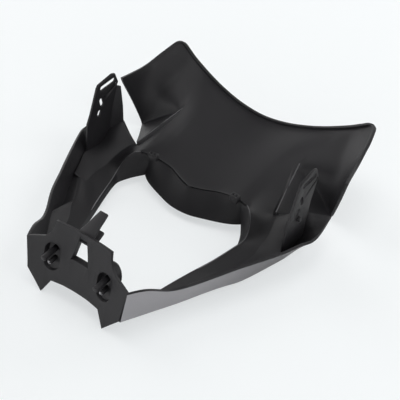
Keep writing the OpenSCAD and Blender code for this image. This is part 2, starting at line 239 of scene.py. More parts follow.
# Both run out over this many points at their end, down to a share of their height.
RIB_RUNOUT = 2
RIB_LOW = 0.2

# Wells round the pins: height of their middle, and how deep their floor is scooped, there and per length.
WELL_MIDDLE = 37
WELL_SCOOP = (6, 5.5)
WELL_POINTS = 32
# Reach, across and up, within which the edge points of a well or of the window lie.
WELL_REACH = (10.5, 15)
WINDOW_MIDDLE = (0, 54)
WINDOW_REACH = (11, 13)

# Pins and the studs under them: where they end along the cowl, sizes, rounding, and how far back from the
# studs' ends their painted highlight of pale skin reaches.
PIN_TIP = -0.7
PIN_ROUND = 1.2
STUD_HEIGHT = 33
STUD_DIAMETER = 4.8
STUD_TIP = 5.2
STUD_ROUND = 2
STUD_HIGHLIGHT_REACH = 0.5
PEG_SEGMENTS = 32
END_SEGMENTS = 4
# How deep a peg stands in the floor of its well.
PEG_ROOT = 1

# Strap tab, along the cowl and up.
TAB_OUTLINE = (
    (199.1, 83.5), (195, 85.3), (174.5, 83.6), (171.8, 81), (159.8, 55.9), (154.3, 46.8), (149.5, 20),
    (150, 8), (166, 7), (182, 8), (183.6, 10), (186.3, 28), (192.3, 49), (200.6, 68), (202.7, 72),
)
# The flange is folded inwards along these outline points, out to a free edge: inset, along and up.
TAB_FOLD = (10, 11, 12, 13)
FLANGE_EDGE = ((9.4, 197.2, 18), (9.2, 197.5, 28.5), (8.2, 199.4, 47.5), (2.6, 204.3, 66))
# Middle, length, width and turn of each slot in a tab.
TAB_SLOTS = (
    ((187.5, 77.3), 22, 5, 0),
    ((176.6, 61.6), 10, 4.4, 100),
    ((171.8, 50.6), 7.5, 4.4, 60),
    ((200.2, 71.5), 3, 3, 0),
)
# Points round a slot and round a stop peg.
SLOT_POINTS = 24
# Stop peg: its place along the cowl and up, how far its middle is from the tab, its radius and its length.
STOP_PLACE = (172, 43.5)
STOP_OUT = 2.5
STOP_RADIUS = 2.5
STOP_LENGTH = 4

# Place of the middle of a clip's top, its width, length and height, its turn, and the depth of its slots.
CLIP_PLACE = (49, 173, 32)
CLIP_SIZE = (9, 6, 6.5)
CLIP_TURN = math.radians(6)
CLIP_SLOT = 1.6

# The prong and the shelf under it: half outline, across and out, then height and rise.
PRONGS = (
    ("prong", ((8.3, 0), (7.9, 3.7), (6, 14.3), (5.4, 20), (4.4, 26.4)), (68.3, 18)),
    ("prong_shelf", ((9, 0), (8.7, 6.7), (6.1, 19.1)), (61.5, 2)),
)

# Soft lamps: name, direction from the cowl and share of the lamp power.
LAMPS = (
    ("top_lamp", (-0.1, 0, 1), 0.43),
    ("right_lamp", (0.7, 0.2, 0.7), 0.46),
    ("side_lamp", (0.85, -0.5, 0.3), 0.16),
    ("front_lamp", (0.3, -0.9, 0.3), 0.2),
    ("left_lamp", (-0.8, 0.15, 0.58), 0.5),
    ("rear_lamp", (0.2, 0.9, 0.4), 0.5),
)
# Light of the horizon from the left, the front and the rear: axis, way along it and strength.
HORIZON_SHARES = (("X", -1, 2.45), ("Y", -1, 2.65), ("Y", 1, 0.4))
# Floor: where it begins to turn into the backdrop, where it has, half its width, and its surface.
FLOOR_NEAR = 0.25
FLOOR_FAR = 1.2
FLOOR_HALF = 6
FLOOR_ROUGHNESS = 0.6
FLOOR_SHEEN = 0.2
# Lamps: width, distance from their aim, and the aim.
LAMP_SIZE = 1.3
LAMP_DISTANCE = 1.8
LAMP_AIM = (0, 0, 0.03)
# The camera in the drawing's frame: its turn and rise in degrees, and its place.
CAMERA_TURN = 37.04
CAMERA_RISE = 43.5
CAMERA_PLACE = (423.9, -377.9, 657.5)
CAMERA_SENSOR = 36
CAMERA_NEAR = 0.01


def cowl():
    """The settings of the cowl, as the sidebar shows them."""
    return bpy.context.scene.cowl_sizes


def finish():
    """The settings of the moulded plastic."""
    return bpy.context.scene.cowl_finish


def stage():
    """The settings of the floor, lamps and camera."""
    return bpy.context.scene.cowl_stage


def well_floor():
    """Place of the floor of the wells along the cowl."""
    sizes = cowl()
    return chin_y(sizes.pin_spacing / 2 / MM, WELL_MIDDLE) + sizes.well_depth / MM


def chin_y(x, z):
    """Place of the chin's face along the cowl, for a point across and up."""
    return CHIN_LEAN * z - CHIN_SWEEP * x * x - CHIN_BACK


def crown_point(share):
    """Point of the crown edge at a share of its half width."""
    factor, power = CROWN_RISE
    return (
        CROWN_HALF_WIDTH * share,
        CROWN_DIP[0] + sum(part * share ** order for part, order in CROWN_RUN),
        CROWN_DIP[1] + factor * share ** power,
    )


def through(points, breaks=()):
    """Control points of a smooth curve that passes through the given ones and turns sharply at the breaks."""
    aims = [Vector(point) for point in points]
    last = len(aims) - 1
    held = set(breaks)
    for end in (0, last):
        if abs(aims[end].x) > MIDDLE:
            held.add(end)
    cage = [aim.copy() for aim in aims]
    flip = Vector((-1, 1, 1))
    for _ in range(CURVE_ROUNDS):
        for i, aim in enumerate(aims):
            if i in held:
                continue
            before = cage[i - 1] if i > 0 else cage[1] * flip
            after = cage[i + 1] if i < last else cage[last - 1] * flip
            # The curve passes a sixth, four sixths and a sixth of the way through three control points.
            cage[i] = (aim * 6 - before - after) / 4
    return cage


def cage_of(rows, row_breaks=(), point_breaks=(), broken=0):
    """Control points of a smooth surface through rows of points, of which the first few may be broken."""
    drawn = [through(row, point_breaks if place < broken else ()) for place, row in enumerate(rows)]
    columns = []
    for column in zip(*drawn):
        ends = {0, len(column) - 1}
        columns.append(through(column, ends | set(row_breaks)))
    return [list(row) for row in zip(*columns)]


def loft(bm, rows):
    """Sheet through rows of points: a chain of edges, extruded once for each further row."""
    verts = [bm.verts.new(point) for point in rows[0]]
    edges = [bm.edges.new(pair) for pair in zip(verts, verts[1:])]
    for row in rows[1:]:
        verts = pulled(bm, verts, edges)
        for vert, point in zip(verts, row):
            vert.co = point
        edges = [bm.edges.get(pair) for pair in zip(verts, verts[1:])]


def crease(bm, points, sharpness):
    """Sharp fold along a chain of control points."""
    layer = bm.edges.layers.float.get("crease_edge") or bm.edges.layers.float.new("crease_edge")
    chain = [vertex_at(bm, point) for point in points]
    for pair in zip(chain, chain[1:]):
        edge = bm.edges.get(pair)
        if edge is None:
            raise RuntimeError("a fold of the shell follows no edge")
        edge[layer] = sharpness


def vertex_at(bm, point):
    """Vertex nearest to a control point."""
    return min(bm.verts, key=lambda vert: (vert.co - Vector(point)).length)


def split_along(bm, points):
    """New edges across the faces between the points of a chain."""
    for start, end in zip(points, points[1:]):
        bmesh.ops.connect_verts(bm, verts=[vertex_at(bm, start), vertex_at(bm, end)])


def raise_lip(bm, points, heights):
    """Low wall along a chain of edge points, square to the sheet and towards the rider."""
    bm.normal_update()
    chain = [vertex_at(bm, point) for point in points]
    edges = [bm.edges.get(pair) for pair in zip(chain, chain[1:])]
    lifts = []
    for vert, height in zip(chain, heights):
        lift = vert.normal * math.copysign(height, vert.normal.z)
        if abs(vert.co.x) < MIDDLE:
            lift.x = 0
        lifts.append(lift)
    for vert, twin, lift in zip(chain, pulled(bm, chain, edges), lifts):
        twin.co = vert.co + lift


def pulled(bm, chain, edges):
    """New vertices, one for each of a chain, after its edges are extruded."""
    made = bmesh.ops.extrude_edge_only(bm, edges=edges)["geom"]
    fresh = {item for item in made if isinstance(item, bmesh.types.BMVert)}
    twins = []
    for vert in chain:
        near = [edge.other_vert(vert) for edge in vert.link_edges]
        twins.append(next(other for other in near if other in fresh))
    return twins


def mirror_half(bm):
    """The left half, joined to the right one where they meet, with all faces turned one way."""
    geometry = bm.verts[:] + bm.edges[:] + bm.faces[:]
    bmesh.ops.mirror(bm, geom=geometry, matrix=Matrix.Identity(4), merge_dist=HALF_WELD, axis="X")
    bmesh.ops.remove_doubles(bm, verts=bm.verts, dist=WELD)
    bmesh.ops.recalc_face_normals(bm, faces=bm.faces)


def ring(bm, middle, length, width, turn, points):
    """Closed loop of edges round a slot, flat in X and Y."""
    made = bmesh.ops.create_circle(bm, segments=points, radius=width / 2)["verts"]
    turned = Matrix.Rotation(math.pi / points, 3, "Z")
    bmesh.ops.rotate(bm, verts=made, cent=(0, 0, 0), matrix=turned)
    shift = (length - width) / 2
    for vert in made:
        vert.co.x += math.copysign(shift, vert.co.x)
    bmesh.ops.rotate(bm, verts=made, cent=(0, 0, 0), matrix=Matrix.Rotation(math.radians(turn), 3, "Z"))
    bmesh.ops.translate(bm, verts=made, vec=(middle[0], middle[1], 0))
    return loop_edges(made)


def loop_edges(verts):
    """Edges between the given vertices, each once and always in the same order."""
    inside = set(verts)
    return list({edge: 1 for vert in verts for edge in vert.link_edges if edge.other_vert(vert) in inside})


def outline(bm, points):
    """Closed loop of edges through flat points."""
    verts = [bm.verts.new((x, y, 0)) for x, y in points]
    return [bm.edges.new(pair) for pair in zip(verts, verts[1:] + verts[:1])]


def fill(bm, edges):
    """Flat sheet between an outline and the holes in it."""
    bmesh.ops.triangle_fill(bm, use_beauty=True, use_dissolve=False, edges=edges)


def new_object(name, data):
    """Object at the origin, in the scene."""
    made = bpy.data.objects.new(name, data)
    bpy.context.scene.collection.objects.link(made)
    return made


def add_piece(bm, name, modifiers=()):
    """Piece made of a bmesh in the cowl's own measures, put down where the frame has it."""
    bmesh.ops.transform(bm, matrix=TO_ROW, verts=bm.verts)
    mesh = bpy.data.meshes.new(name)
    bm.to_mesh(mesh)
    bm.free()
    mesh.shade_smooth()
    mesh.materials.append(moulded_plastic())
    piece = new_object(name, mesh)
    for kind, settings in modifiers:
        modifier = piece.modifiers.new(kind.title(), kind)
        for setting, value in settings.items():
            setattr(modifier, setting, value)
    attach(piece, "root")
    return piece


def wall_thickness(thickness, slot_step=0):
    """Solidify settings for a moulded wall, half to each side; its back may take a later material slot."""
    settings = {"thickness": thickness, "offset": 0, "use_even_offset": True, "material_offset": slot_step}
    return ("SOLIDIFY", settings)


def round_edges(width):
    """Bevel settings that round the edges of a moulding."""
    corner = {"limit_method": "ANGLE", "angle_limit": EDGE_ANGLE, "profile": 0.5}
    return ("BEVEL", {"width": width, "segments": EDGE_SEGMENTS, **corner})


def smoothed(levels):
    """Subdivision settings for a smooth sheet."""
    return ("SUBSURF", {"levels": levels, "render_levels": levels, "boundary_smooth": "PRESERVE_CORNERS"})


def moulded_wall(levels=0, slot_step=0):
    """Modifiers of a moulded sheet: smoothed if it has levels, given its wall and rounded at its edges."""
    smooth = (smoothed(levels),) if levels else ()
    return (*smooth, wall_thickness(cowl().wall, slot_step), round_edges(cowl().edge_round))


def new_node(nodes, kind, values=None, **settings):
    """Node with some of its settings and some of its inputs' values filled in."""
    node = nodes.new(kind)
    for setting, value in settings.items():
        setattr(node, setting, value)
    for socket, value in (values or {}).items():
        node.inputs[socket].default_value = value
    return node


def moulding_grain():
    """Node group: the fine eroded grain of the mould and slow changes of tone over the plastic."""
    name = "moulding grain"
    if name in bpy.data.node_groups:
        return bpy.data.node_groups[name]
    group = bpy.data.node_groups.new(name, "ShaderNodeTree")
    group.interface.new_socket(name="Vector", in_out="INPUT", socket_type="NodeSocketVector")
    for name, way in (("Grain", "INPUT"), ("Tone", "INPUT"), ("Height", "OUTPUT"), ("Shade", "OUTPUT")):
        group.interface.new_socket(name=name, in_out=way, socket_type="NodeSocketFloat")
    nodes, links = group.nodes, group.links
    inside = nodes.new("NodeGroupInput")
    outside = nodes.new("NodeGroupOutput")
    fine = new_node(nodes, "ShaderNodeTexNoise", FINE_NOISE)
    broad = new_node(nodes, "ShaderNodeTexNoise", BROAD_NOISE)
    for node, socket in ((fine, "Grain"), (broad, "Tone")):
        links.new(inside.outputs["Vector"], node.inputs["Vector"])
        links.new(inside.outputs[socket], node.inputs["Scale"])
    links.new(fine.outputs["Fac"], outside.inputs["Height"])
    links.new(broad.outputs["Fac"], outside.inputs["Shade"])
    return group


def grained_plastic(name, tones, roughness, sway, strength):
    """Plastic with the grain of the mould: darker and lighter tone, middle and sway of the roughness."""
    material = bpy.data.materials.new(name)
    material.use_nodes = True
    nodes, links = material.node_tree.nodes, material.node_tree.links
    shader = nodes["Principled BSDF"]
    shader.inputs["IOR"].default_value = PLASTIC_IOR
    shader.inputs["Specular IOR Level"].default_value = PLASTIC_SHEEN
    place = new_node(nodes, "ShaderNodeTexCoord", name="place")
    scales = {"Grain": finish().grain_scale, "Tone": finish().tone_scale}
    grain = new_node(nodes, "ShaderNodeGroup", scales, node_tree=moulding_grain())
    links.new(place.outputs["Object"], grain.inputs["Vector"])
    tone = new_node(nodes, "ShaderNodeValToRGB", name="tone")
    for stop, position, colour in zip(tone.color_ramp.elements, TONE_PLACES, tones):
        stop.position = position
        stop.color = (*colour, 1)
    links.new(grain.outputs["Shade"], tone.inputs["Fac"])
    links.new(tone.outputs["Color"], shader.inputs["Base Color"])
    gloss = new_node(nodes, "ShaderNodeMapRange", {"To Min": roughness - sway, "To Max": roughness + sway})
    links.new(grain.outputs["Shade"], gloss.inputs["Value"])
    links.new(gloss.outputs["Result"], shader.inputs["Roughness"])
    bump = new_node(nodes, "ShaderNodeBump", {"Strength": strength, "Distance": finish().grain_depth})
    links.new(grain.outputs["Height"], bump.inputs["Height"])
    links.new(bump.outputs["Normal"], shader.inputs["Normal"])
    return material


def moulded_plastic():
    """Black polypropylene with the fine grain of the mould."""
    name = "moulded plastic"
    if name in bpy.data.materials:
        return bpy.data.materials[name]
    look = finish()
    tones = (look.dark_colour, look.light_colour)
    return grained_plastic(name, tones, look.roughness, PLASTIC_SWAY, look.grain_strength)


def painted_light_skin():
    """Smooth pale skin of painted light: on the side walls' outside, darkened towards the tabs by painted
    shade, and painted highlights on the rims, the ribs and the studs' ends.
    """
    name = "satin skin"
    if name in bpy.data.materials:
        return bpy.data.materials[name]
    look = finish()
    tones = ([SKIN_TONE * part for part in look.painted_light_colour], look.painted_light_colour)
    material = grained_plastic(name, tones, look.skin_roughness, SKIN_SWAY, look.grain_strength * SKIN_GRAIN)
    nodes, links = material.node_tree.nodes, material.node_tree.links
    # Painted shade: the skin darkens along the cowl towards the tabs.
    split = nodes.new("ShaderNodeSeparateXYZ")
    links.new(nodes["place"].outputs["Object"], split.inputs[0])
    ends = {"From Min": PAINTED_SHADE_START, "From Max": PAINTED_SHADE_END, "To Min": 1, "To Max": PAINTED_SHADE_SHARE}
    fade = new_node(nodes, "ShaderNodeMapRange", ends, interpolation_type="SMOOTHSTEP")
    links.new(split.outputs["Y"], fade.inputs["Value"])
    painted_shade = new_node(nodes, "ShaderNodeVectorMath", operation="SCALE")
    links.new(nodes["tone"].outputs["Color"], painted_shade.inputs[0])
    links.new(fade.outputs["Result"], painted_shade.inputs["Scale"])
    links.new(painted_shade.outputs["Vector"], nodes["Principled BSDF"].inputs["Base Color"])
    return material


class CowlSizes(bpy.types.PropertyGroup):
    """Sizes of the moulding that a user would change"""

    wall: FloatProperty(name="Wall", description="Thickness of the moulding", default=0.0026, unit="LENGTH")
    crown_lip: FloatProperty(
        name="Crown lip", description="Height of the lip along the crown edge", default=0.0038, unit="LENGTH"
    )
    edge_round: FloatProperty(
        name="Edge rounding", description="Rounding of the moulded edges", default=0.0009, unit="LENGTH"
    )
    smooth_levels: IntProperty(name="Smoothing", description="Subdivision levels of the shell", default=3)
    tab_gap: FloatProperty(
        name="Tab half gap", description="Half the gap between the strap tabs", default=0.1172, unit="LENGTH"
    )
    tab_wall: FloatProperty(
        name="Tab thickness", description="Thickness of a strap tab", default=0.0022, unit="LENGTH"
    )
    pin_diameter: FloatProperty(
        name="Pin diameter", description="Diameter of a locating pin", default=0.0056, unit="LENGTH"
    )
    pin_spacing: FloatProperty(
        name="Pin spacing", description="Distance between the locating pins", default=0.0592, unit="LENGTH"
    )
    pin_height: FloatProperty(
        name="Pin height", description="Height of the pins above the front face", default=0.043, unit="LENGTH"
    )
    well_width: FloatProperty(
        name="Well width", description="Width of the well round a pin", default=0.017, unit="LENGTH"
    )
    well_length: FloatProperty(
        name="Well length", description="Length of the well round a pin", default=0.026, unit="LENGTH"
    )
    well_depth: FloatProperty(
        name="Well depth", description="Depth of the well round a pin", default=0.009, unit="LENGTH"
    )
    window_rim: FloatProperty(
        name="Window rim", description="Depth of the chin window's rim", default=0.0045, unit="LENGTH"
    )


class CowlFinish(bpy.types.PropertyGroup):
    """Colour and surface of the plastic"""

    dark_colour: FloatVectorProperty(
        name="Dark tone", description="Darker tone of the plastic", subtype="COLOR",
        default=(0.0115, 0.011, 0.0125),
    )
    light_colour: FloatVectorProperty(
        name="Light tone", description="Lighter tone of the plastic", subtype="COLOR",
        default=(0.0162, 0.0155, 0.0176),
    )
    roughness: FloatProperty(name="Roughness", description="Roughness of the plastic", default=0.5)
    # Painted light: colour of the pale skin.
    painted_light_colour: FloatVectorProperty(
        name="Painted light skin", description="Colour of the satin skin where it is palest", subtype="COLOR",
        default=(0.28, 0.277, 0.292),
    )
    skin_roughness: FloatProperty(name="Skin roughness", description="Roughness of the skin", default=0.35)
    grain_scale: FloatProperty(name="Grain scale", description="Fineness of the grain", default=1500.0)
    tone_scale: FloatProperty(name="Tone scale", description="Fineness of the changes of tone", default=9.0)
    grain_strength: FloatProperty(name="Grain strength", description="Strength of the grain", default=0.35)
    grain_depth: FloatProperty(
        name="Grain depth", description="Depth of the grain", default=0.0002, unit="LENGTH"
    )


class CowlStage(bpy.types.PropertyGroup):
    """Floor, lamps and camera"""

    floor_colour: FloatVectorProperty(
        name="Floor", description="Colour of the floor", subtype="COLOR", default=(0.98, 1.0, 1.0)
    )
    backdrop_colour: FloatVectorProperty(
        name="Backdrop", description="Colour of the lit backdrop", subtype="COLOR",
        default=(0.955, 0.985, 1.0),
    )
    seen_share: FloatProperty(
        name="Backdrop seen", description="Share of the backdrop in the near floor", default=0.6
    )
    horizon_strength: FloatProperty(name="Horizon", description="Light from the sides", default=1.08)
    horizon_height: FloatProperty(
        name="Horizon height", description="Height over which the horizon's light fades", default=0.45
    )
    lamp_power: FloatProperty(
        name="Lamps", description="Power of which each lamp has its share", default=21.6, unit="POWER"
    )
    lens: FloatProperty(name="Lens", description="Focal length of the camera", default=88.2)


class COWL_OT_shell(bpy.types.Operator):
    """Number plate, wall round the opening, side walls and ledge"""

    bl_idname = "cowl.shell"
    bl_label = "Shell"

    def execute(self, context):
        plate, fold, rim, side, ledge = self.control_rows()
        bm = bmesh.new()
        for rows in (plate, [rim, fold], side, ledge):
            loft(bm, rows)
        bmesh.ops.remove_doubles(bm, verts=bm.verts, dist=WELD)
        crown = plate[-1]
        edge = self.round_tip(bm, crown + [row[-1] for row in plate[-2::-1]], crown[-1])
        facet_top = [plate[0][EAR_CORNER], plate[1][FACET_TOP], plate[2][STEP_PLACES[1]]]
        split_along(bm, facet_top)
        high = cowl().crown_lip / MM
        raise_lip(bm, edge, [high] * len(crown) + [high * SIDE_LIP] * (len(edge) - len(crown)))
        crease(bm, edge, 1)
        crease(bm, fold, 1)
        crease(bm, [fold[RIM_CORNERS[0]], rim[RIM_CORNERS[0]]], 1)
        for place, sharpness in SIDE_CREASES:
            crease(bm, side[place], sharpness)
        for place in STEP_PLACES:
            crease(bm, [row[place] for row in plate[:STEP_ROWS]], 1)
        crease(bm, facet_top, FACET_CREASE)
        self.mark_walls(bm, side[-1] + side[-2])
        mirror_half(bm)
        self.face_rider(bm)
        self.add_shell(bm)
        return {"FINISHED"}

    def control_rows(self):
        """Rows of control points of the plate, the opening's fold and rim, the side wall and the ledge."""
        crown = [Vector(crown_point(share)) for share in CROWN_PLACES[:-1]] + [Vector(CROWN_TIP)]
        below = [Vector(point).lerp(top, CROWN_SUPPORT) for point, top in zip(PLATE_ROWS[-1], crown)]
        corners = (BROW_END, *STEP_PLACES, FACET_TOP, EAR_CORNER)
        plate = cage_of([*PLATE_ROWS, below, crown], point_breaks=corners, broken=STEP_ROWS)
        fold = through(OPENING_FOLD, FOLD_CORNERS)
        rim = through(OPENING_RIM, RIM_CORNERS)
        side = cage_of(SIDE_ROWS[:-1], row_breaks=SIDE_BREAKS)
        side[0] = fold[SHARED_FOLD] + [side[0][-1]]
        side.append(through(SIDE_ROWS[-1], EDGE_CORNERS))
        ledge = [through(row) for row in LEDGE_ROWS]
        ledge[1] = fold[:CHIN_CORNER - 1:-1]
        return plate, fold, rim, side, ledge

    def mark_walls(self, bm, points):
        """Puts the faces between two rows of the side wall into the side walls' slot."""
        walls = {vertex_at(bm, point) for point in points}
        for face in bm.faces:
            if walls.issuperset(face.verts):
                face.material_index = SIDE_SLOT

    def add_shell(self, bm):
        """The shell as a piece with walls, in plastic with the pale skin of painted light on the side walls'
        outside.
        """
        piece = add_piece(bm, "cowl_shell", moulded_wall(cowl().smooth_levels, OUTSIDE_STEP))
        piece.data.materials.append(moulded_plastic())
        piece.data.materials.append(painted_light_skin())
        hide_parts(NODE)

    def round_tip(self, bm, chain, tip):
        """Cut the plate's upper corner round; gives the chain of edge points with the new ones in it."""
        place = chain.index(tip)
        before = set(bm.verts)
        bmesh.ops.bevel(
            bm, geom=[vertex_at(bm, tip)], offset=TIP_ROUND, offset_type="OFFSET", affect="VERTICES",
            segments=TIP_SEGMENTS, profile=0.5, material=-1,
        )
        added = [vert for vert in bm.verts if vert not in before]
        added.sort(key=lambda vert: (vert.co - Vector(chain[place - 1])).length)
        return chain[:place] + [vert.co.copy() for vert in added] + chain[place + 1:]

    def face_rider(self, bm):
        """All faces turned towards the rider's side."""
        rise = sum(face.normal.z * face.calc_area() for face in bm.faces)
        if rise < 0:
            bmesh.ops.reverse_faces(bm, faces=bm.faces)


class COWL_OT_shelves(bpy.types.Operator):
    """Sloping shelves between the side walls and the chin, and the raised floors of the wings"""

    bl_idname = "cowl.shelves"
    bl_label = "Shelves"

    def execute(self, context):
        for name, rows in (("side_shelves", SHELF_ROWS), ("wing_floors", WING_ROWS)):
            bm = bmesh.new()
            loft(bm, cage_of(rows))
            mirror_half(bm)
            add_piece(bm, name, moulded_wall(FLAT_LEVELS))
        return {"FINISHED"}


class COWL_OT_chin(bpy.types.Operator):
    """Chin panel with its deep window and the two wells"""

    bl_idname = "cowl.chin"
    bl_label = "Chin panel"

    def execute(self, context):
        sizes = cowl()
        wall = sizes.wall / MM
        well = (sizes.pin_spacing / 2 / MM, WELL_MIDDLE)
        bm = bmesh.new()
        other = [(-x, z) for x, z in reversed(CHIN_OUTLINE) if x > 0]
        edges = outline(bm, [*CHIN_OUTLINE, *other]) + outline(bm, WINDOW_OUTLINE)
        long, wide = sizes.well_length / MM + wall, sizes.well_width / MM + wall
        for side in (-1, 1):
            edges += ring(bm, (side * well[0], well[1]), long, wide, 90, WELL_POINTS)
        fill(bm, edges)
        self.cut_strips(bm)
        wells = self.rim(bm, well, WELL_REACH)
        window = self.rim(bm, WINDOW_MIDDLE, WINDOW_REACH)
        floors = pulled(bm, wells, loop_edges(wells))
        backs = pulled(bm, window, loop_edges(window))
        for vert in bm.verts:
            x, z = vert.co.x, vert.co.y
            vert.co = (x, chin_y(x, z), z)
        for vert in floors:
            rise = (vert.co.z - WELL_MIDDLE) / (sizes.well_length / MM)
            vert.co.y += WELL_SCOOP[0] + WELL_SCOOP[1] * rise
        for vert in backs:
            vert.co.y += sizes.window_rim / MM
        bmesh.ops.edgeloop_fill(bm, edges=loop_edges(floors))
        bmesh.ops.recalc_face_normals(bm, faces=bm.faces)
        add_piece(bm, "chin_panel", moulded_wall())
        return {"FINISHED"}

    def cut_strips(self, bm):
        """Edges across the flat panel, so that it can be swept."""
        for step in range(-CHIN_REACH, CHIN_REACH + 1, CHIN_STEP):
            geometry = bm.verts[:] + bm.edges[:] + bm.faces[:]
            bmesh.ops.bisect_plane(bm, geom=geometry, plane_co=(step, 0, 0), plane_no=(1, 0, 0), dist=MIDDLE)

    def rim(self, bm, middle, reach):
        """Edge points of the flat panel near a place on the right side and near its mirror image."""
        found = []
        for vert in bm.verts:
            across = abs(abs(vert.co.x) - middle[0])
            up = abs(vert.co.y - middle[1])
            if vert.is_boundary and across < reach[0] and up < reach[1]:
                found.append(vert)
        return found


class COWL_OT_pins(bpy.types.Operator):
    """The two locating pins and the studs under them"""

    bl_idname = "cowl.pins"
    bl_label = "Locating pins"

    def execute(self, context):
        sizes = cowl()
        bm = bmesh.new()
        for side in (-1, 1):
            x = side * sizes.pin_spacing / 2 / MM
            self.peg(bm, (x, PIN_TIP, sizes.pin_height / MM), sizes.pin_diameter / MM, PIN_ROUND)
            self.peg(bm, (x, STUD_TIP, STUD_HEIGHT), STUD_DIAMETER, STUD_ROUND)
            # The newest faces are the cap and most of the rounding.
            for face in list(bm.faces)[-END_SEGMENTS * PEG_SEGMENTS:]:
                # Painted highlight: the front of the stud's end takes the pale skin.
                if face.calc_center_median().y < STUD_TIP + STUD_HIGHLIGHT_REACH:
                    face.material_index = STUD_HIGHLIGHT_SLOT
        piece = add_piece(bm, "locating_pins")
        piece.data.materials.append(painted_light_skin())
        return {"FINISHED"}

    def peg(self, bm, tip, diameter, rounding):
        """Peg from the floor of a well out to its tip, with a rounded end."""
        before = set(bm.faces)
        x, end, height = tip
        radius = diameter / 2
        length = well_floor() + PEG_ROOT - end
        place = Matrix.Translation((x, end + length / 2, height)) @ Matrix.Rotation(math.radians(90), 4, "X")
        bmesh.ops.create_cone(
            bm, cap_ends=True, segments=PEG_SEGMENTS, radius1=radius, radius2=radius, depth=length,
            matrix=place,
        )
        fresh = [face for face in bm.faces if face not in before]
        cap = min(fresh, key=lambda face: face.calc_center_median().y)
        bmesh.ops.bevel(
            bm, geom=list(cap.edges), offset=rounding, segments=END_SEGMENTS, affect="EDGES", profile=0.5,
            material=-1,
        )


class COWL_OT_prong(bpy.types.Operator):
    """The prong that stands off the top of the chin, with a shelf under it"""

    bl_idname = "cowl.prong"
    bl_label = "Prong"

    def execute(self, context):
        for name, half, (height, rise) in PRONGS:
            bm = bmesh.new()
            fill(bm, outline(bm, [*half, *[(-x, y) for x, y in reversed(half)]]))
            turned = Matrix.Rotation(math.radians(rise), 3, "X")
            bmesh.ops.rotate(bm, verts=bm.verts, cent=(0, 0, 0), matrix=turned)
            bmesh.ops.translate(bm, verts=bm.verts, vec=(0, chin_y(0, height), height))
            add_piece(bm, name, moulded_wall())
        return {"FINISHED"}


class COWL_OT_ribs(bpy.types.Operator):
    """The raised rims beside the lamp opening and the two ribs beside the ears, pale as painted highlights"""

    bl_idname = "cowl.ribs"
    bl_label = "Rims and ribs"

    def execute(self, context):
        fold = through(OPENING_FOLD, FOLD_CORNERS)[RIM_PLACES]
        step = through([row[STEP_PLACES[1]] for row in PLATE_ROWS[:STEP_ROWS]])
        for name, line in (("side_rims", fold), ("ear_ribs", step)):
            bm = bmesh.new()
            shares = [min(1, (len(line) - 1 - place) / RIB_RUNOUT + RIB_LOW) for place in range(len(line))]
            low = [point - Vector((0, 0, RIB_ROOT)) for point in line]
            high = [point + Vector((0, 0, RIB_RISE[name] * share)) for point, share in zip(line, shares)]
            loft(bm, [low, high])
            mirror_half(bm)
            rounding = round_edges(cowl().edge_round * RIB_EDGE)
            rib = add_piece(bm, name, (smoothed(RIB_LEVELS), wall_thickness(RIB_WALL * MM), rounding))
            # Painted highlights: the rims and ribs take the pale skin.
            rib.data.materials[0] = painted_light_skin()
        return {"FINISHED"}


class COWL_OT_tabs(bpy.types.Operator):
    """The two strap tabs with their slots and stop pegs"""

    bl_idname = "cowl.tabs"
    bl_label = "Strap tabs"

    def execute(self, context):
        sizes = cowl()
        for name, side in (("strap_tab_left", -1), ("strap_tab_right", 1)):
            bm = bmesh.new()
            edges = outline(bm, TAB_OUTLINE)
            for middle, length, width, turn in TAB_SLOTS:
                edges += ring(bm, middle, length, width, turn, SLOT_POINTS)
            fill(bm, edges)
            upright = Matrix(((0, 0, 1), (1, 0, 0), (0, 1, 0)))
            bmesh.ops.rotate(bm, verts=bm.verts, cent=(0, 0, 0), matrix=upright)
            bmesh.ops.translate(bm, verts=bm.verts, vec=(side * sizes.tab_gap / MM, 0, 0))
            self.fold_flange(bm, side)
            bmesh.ops.recalc_face_normals(bm, faces=bm.faces)
            add_piece(bm, name, (wall_thickness(sizes.tab_wall), round_edges(sizes.edge_round)))
        bm = bmesh.new()
        for side in (-1, 1):
            place = Matrix.Translation((side * (sizes.tab_gap / MM + STOP_OUT), *STOP_PLACE))
            place @= Matrix.Rotation(math.radians(90), 4, "Y")
            bmesh.ops.create_cone(
                bm, cap_ends=True, segments=SLOT_POINTS, radius1=STOP_RADIUS, radius2=STOP_RADIUS,
                depth=STOP_LENGTH, matrix=place,
            )
        add_piece(bm, "stop_pegs", (round_edges(sizes.edge_round),))
        return {"FINISHED"}

    def fold_flange(self, bm, side):
        """Flange on the tab's upper side, folded inwards."""
        gap = cowl().tab_gap / MM
        chain = [vertex_at(bm, (side * gap, *TAB_OUTLINE[place])) for place in TAB_FOLD]
        edges = [bm.edges.get(pair) for pair in zip(chain, chain[1:])]
        for vert, (inset, along, up) in zip(pulled(bm, chain, edges), FLANGE_EDGE):
            vert.co = (side * (gap - inset), along, up)


